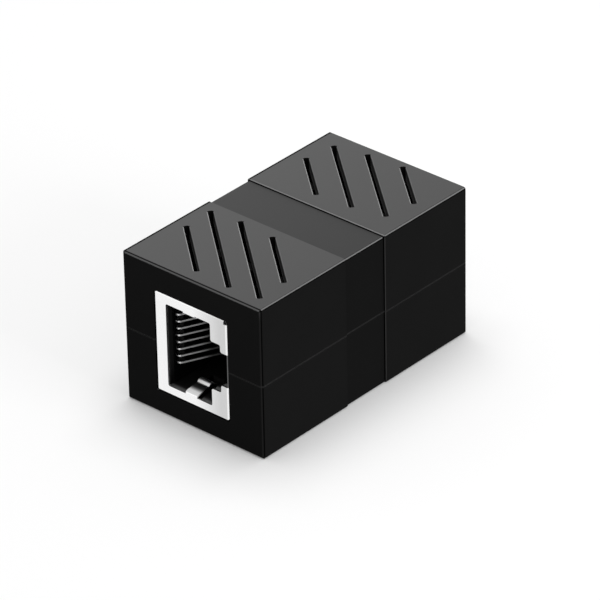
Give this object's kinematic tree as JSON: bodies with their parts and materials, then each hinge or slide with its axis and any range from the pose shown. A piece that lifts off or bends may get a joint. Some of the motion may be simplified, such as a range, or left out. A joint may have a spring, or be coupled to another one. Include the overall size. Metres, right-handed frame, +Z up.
{
  "type": "rj45 inline coupler",
  "caption": "Shielded inline coupler for joining two modular network plugs: a black box with a waist band, diagonal top vents and a plug port at each end.",
  "frame": {"origin": "centre of the underside's bounding box, on the surface that the coupler rests on", "axes": "+X across, towards the front port's latch side; +Y along the coupler, from the front port to the rear port; +Z up"},
  "size_m": [0.0234, 0.0402, 0.022],
  "materials": {
    "housing": "satin moulded black",
    "jack_plastic": "moulded black",
    "shield": "bright nickel-plated sheet",
    "contact": "plated wire",
    "board": "solder mask"
  },
  "bodies": {
    "root": {"upper_shell": "housing", "lower_shell": "housing", "circuit_board": "board", "front_shield": "shield", "front_jack_body": "jack_plastic", "front_contact_carrier": "jack_plastic", "front_contact_1": "contact", "front_contact_2": "contact", "front_contact_3": "contact", "front_contact_4": "contact", "front_contact_5": "contact", "front_contact_6": "contact", "front_contact_7": "contact", "front_contact_8": "contact", "rear_shield": "shield", "rear_jack_body": "jack_plastic", "rear_contact_carrier": "jack_plastic", "rear_contact_1": "contact", "rear_contact_2": "contact", "rear_contact_3": "contact", "rear_contact_4": "contact", "rear_contact_5": "contact", "rear_contact_6": "contact", "rear_contact_7": "contact", "rear_contact_8": "contact"}
  },
  "joints": []
}
